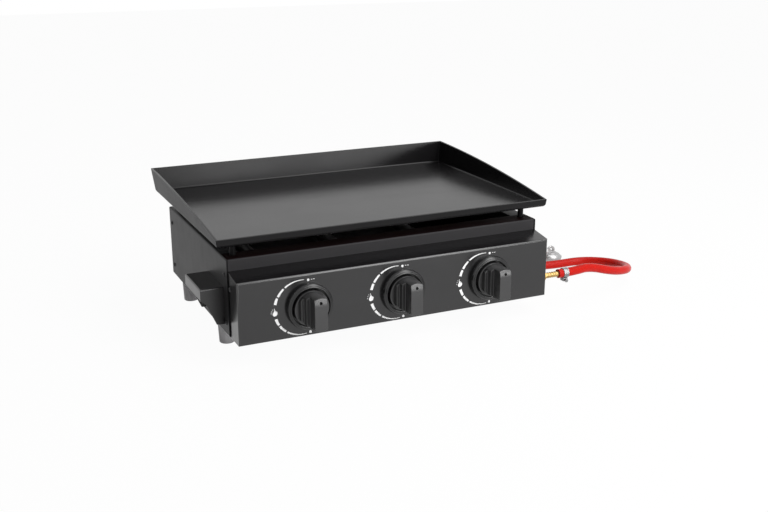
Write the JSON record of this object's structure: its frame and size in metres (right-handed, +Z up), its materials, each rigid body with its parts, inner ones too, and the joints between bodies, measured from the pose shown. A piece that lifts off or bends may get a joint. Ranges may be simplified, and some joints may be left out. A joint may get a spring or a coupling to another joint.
{
  "type": "outdoor gas griddle station",
  "caption": "Table-top gas griddle: black folded steel burner box with valve knobs along its control panel, a lift-off griddle plate with leaning walls and a red gas hose.",
  "frame": {"origin": "on the ground under the middle of the station without its hose and regulator", "axes": "+X along the control panel to the hose's side, +Y from the knobs to the back, +Z up"},
  "size_m": [0.8574, 0.489, 0.2258],
  "materials": {
    "plate_enamel": "satin black enamel",
    "body_paint": "satin black powder coat",
    "pan_steel": "matt black enamel",
    "zinc_steel": "zinc plated",
    "foot_plastic": "matt grey",
    "bezel_plastic": "satin black",
    "knob_plastic": "satin black",
    "valve_aluminium": "die cast",
    "gas_brass": "machined",
    "stem_steel": "turned",
    "burner_steel": "aluminised",
    "igniter_ceramic": "glazed ceramic sleeve",
    "hose_rubber": "smooth, semi-gloss",
    "clamp_steel": "bright"
  },
  "bodies": {
    "station": {"side_panel_left": "body_paint", "side_panel_right": "body_paint", "front_wall": "body_paint", "back_panel": "body_paint", "control_box": "body_paint", "box_brackets": "body_paint", "side_handle_left": "body_paint", "side_handle_right": "body_paint", "base_pan": "pan_steel", "burner_rail": "pan_steel", "corner_screws": "zinc_steel", "foot_bolts": "zinc_steel", "foot_nuts": "zinc_steel", "box_screws": "zinc_steel", "valve_screws": "zinc_steel", "handle_bolts": "zinc_steel", "foot_front_left": "foot_plastic", "foot_back_left": "foot_plastic", "foot_front_right": "foot_plastic", "foot_back_right": "foot_plastic", "knob_bezel_left": "bezel_plastic", "knob_bezel_centre": "bezel_plastic", "knob_bezel_right": "bezel_plastic", "valve_cap_left": "valve_aluminium", "valve_cap_centre": "valve_aluminium", "valve_cap_right": "valve_aluminium", "valve_body_left": "valve_aluminium", "valve_body_centre": "valve_aluminium", "valve_body_right": "valve_aluminium", "regulator_body": "valve_aluminium", "gas_jets": "gas_brass", "manifold_plug": "gas_brass", "hose_tail": "gas_brass", "burner_left": "burner_steel", "burner_centre": "burner_steel", "burner_right": "burner_steel", "manifold_pipe": "burner_steel", "igniter_left": "igniter_ceramic", "igniter_centre": "igniter_ceramic", "igniter_right": "igniter_ceramic", "gas_hose": "hose_rubber", "hose_clamp_inlet": "clamp_steel", "hose_clamp_regulator": "clamp_steel"},
    "valve_turn_left": {"valve_plug_left": "gas_brass", "valve_spring_left": "stem_steel"},
    "knob_set_left": {"knob_left": "knob_plastic", "valve_stem_left": "stem_steel"},
    "valve_turn_centre": {"valve_plug_centre": "gas_brass", "valve_spring_centre": "stem_steel"},
    "knob_set_centre": {"knob_centre": "knob_plastic", "valve_stem_centre": "stem_steel"},
    "valve_turn_right": {"valve_plug_right": "gas_brass", "valve_spring_right": "stem_steel"},
    "knob_set_right": {"knob_right": "knob_plastic", "valve_stem_right": "stem_steel"},
    "plate": {"griddle_plate": "plate_enamel", "plate_studs": "plate_enamel"},
    "union_nut": {"regulator_nut": "gas_brass"}
  },
  "joints": [
    {"name": "knob_turn_left", "type": "hinge", "parent": "station", "child": "valve_turn_left", "pos_m": [-0.1625, -0.1915, 0.083], "axis": [0, -1, 0], "range_deg": [0, 180]},
    {"name": "knob_push_left", "type": "slide", "parent": "valve_turn_left", "child": "knob_set_left", "axis": [0, 1, 0], "range_m": [0, 0.005], "stiffness_N_per_m": 600, "springref_m": -0.008, "deforming": ["valve_spring_left"]},
    {"name": "knob_turn_centre", "type": "hinge", "parent": "station", "child": "valve_turn_centre", "pos_m": [0, -0.1915, 0.083], "axis": [0, -1, 0], "range_deg": [0, 180]},
    {"name": "knob_push_centre", "type": "slide", "parent": "valve_turn_centre", "child": "knob_set_centre", "axis": [0, 1, 0], "range_m": [0, 0.005], "stiffness_N_per_m": 600, "springref_m": -0.008, "deforming": ["valve_spring_centre"]},
    {"name": "knob_turn_right", "type": "hinge", "parent": "station", "child": "valve_turn_right", "pos_m": [0.1625, -0.1915, 0.083], "axis": [0, -1, 0], "range_deg": [0, 180]},
    {"name": "knob_push_right", "type": "slide", "parent": "valve_turn_right", "child": "knob_set_right", "axis": [0, 1, 0], "range_m": [0, 0.005], "stiffness_N_per_m": 600, "springref_m": -0.008, "deforming": ["valve_spring_right"]},
    {"name": "plate_lift", "type": "slide", "parent": "station", "child": "plate", "axis": [0, 0, 1], "range_m": [0, 0.06]},
    {"name": "regulator_nut_spin", "type": "hinge", "parent": "station", "child": "union_nut", "pos_m": [0.412, 0.0665, 0.017], "axis": [-1, 0, 0], "continuous": true}
  ]
}
